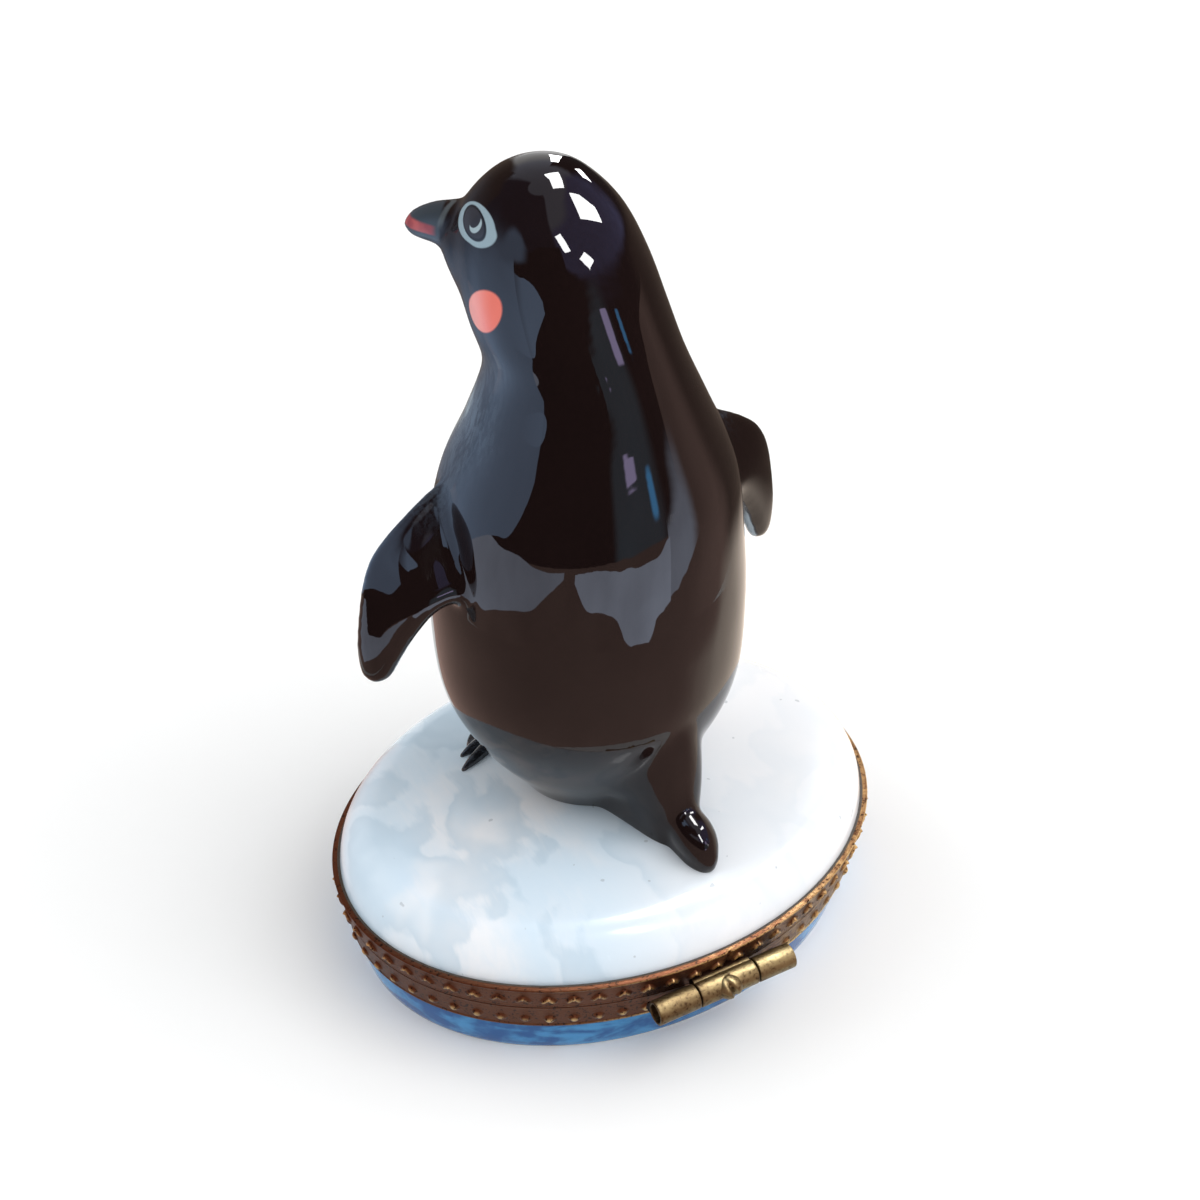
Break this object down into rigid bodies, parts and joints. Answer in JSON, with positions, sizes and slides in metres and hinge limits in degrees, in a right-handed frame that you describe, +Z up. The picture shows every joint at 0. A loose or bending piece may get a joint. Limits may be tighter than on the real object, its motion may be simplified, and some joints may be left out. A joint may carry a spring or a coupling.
{
  "type": "trinket box",
  "caption": "Oval hinged porcelain trinket box: a black penguin stands on a snow-white domed lid over a shallow blue base, both edged with brass mounts and closed by a front clasp.",
  "frame": {"origin": "centre of the flat bottom of the foot", "axes": "+Z up, +X along the length of the oval and towards the penguin's left, clasp and penguin's breast at -Y, hinge at +Y"},
  "size_m": [0.0576, 0.0491, 0.0832],
  "materials": {
    "snow_glaze": "gloss white glaze with pale blue-grey washes",
    "blue_glaze": "gloss mid-blue glaze",
    "black_glaze": "deep gloss black glaze, cream on the breast",
    "mount_brass": "aged beaded brass, reddish brown",
    "hinge_brass": "rubbed pale brass",
    "cement": "matt bedding cement"
  },
  "bodies": {
    "base": {"base_bowl": "blue_glaze", "lower_bedding": "cement", "lower_mount": "mount_brass", "lower_mount_lip": "mount_brass", "hinge_knuckle_left": "hinge_brass", "hinge_knuckle_right": "hinge_brass", "hinge_pin": "hinge_brass", "clasp_stud": "hinge_brass"},
    "lid": {"lid_dome": "snow_glaze", "upper_bedding": "cement", "upper_mount": "mount_brass", "hinge_knuckle_centre": "hinge_brass", "clasp_tongue": "hinge_brass", "penguin_body": "black_glaze", "beak": "black_glaze", "left_flipper": "black_glaze", "right_flipper": "black_glaze", "tail": "black_glaze", "left_foot": "black_glaze", "right_foot": "black_glaze"}
  },
  "joints": [
    {"name": "lid_hinge", "type": "hinge", "parent": "base", "child": "lid", "pos_m": [0, 0.02354, 0.00795], "axis": [-1, 0, 0], "range_deg": [0, 100]}
  ]
}
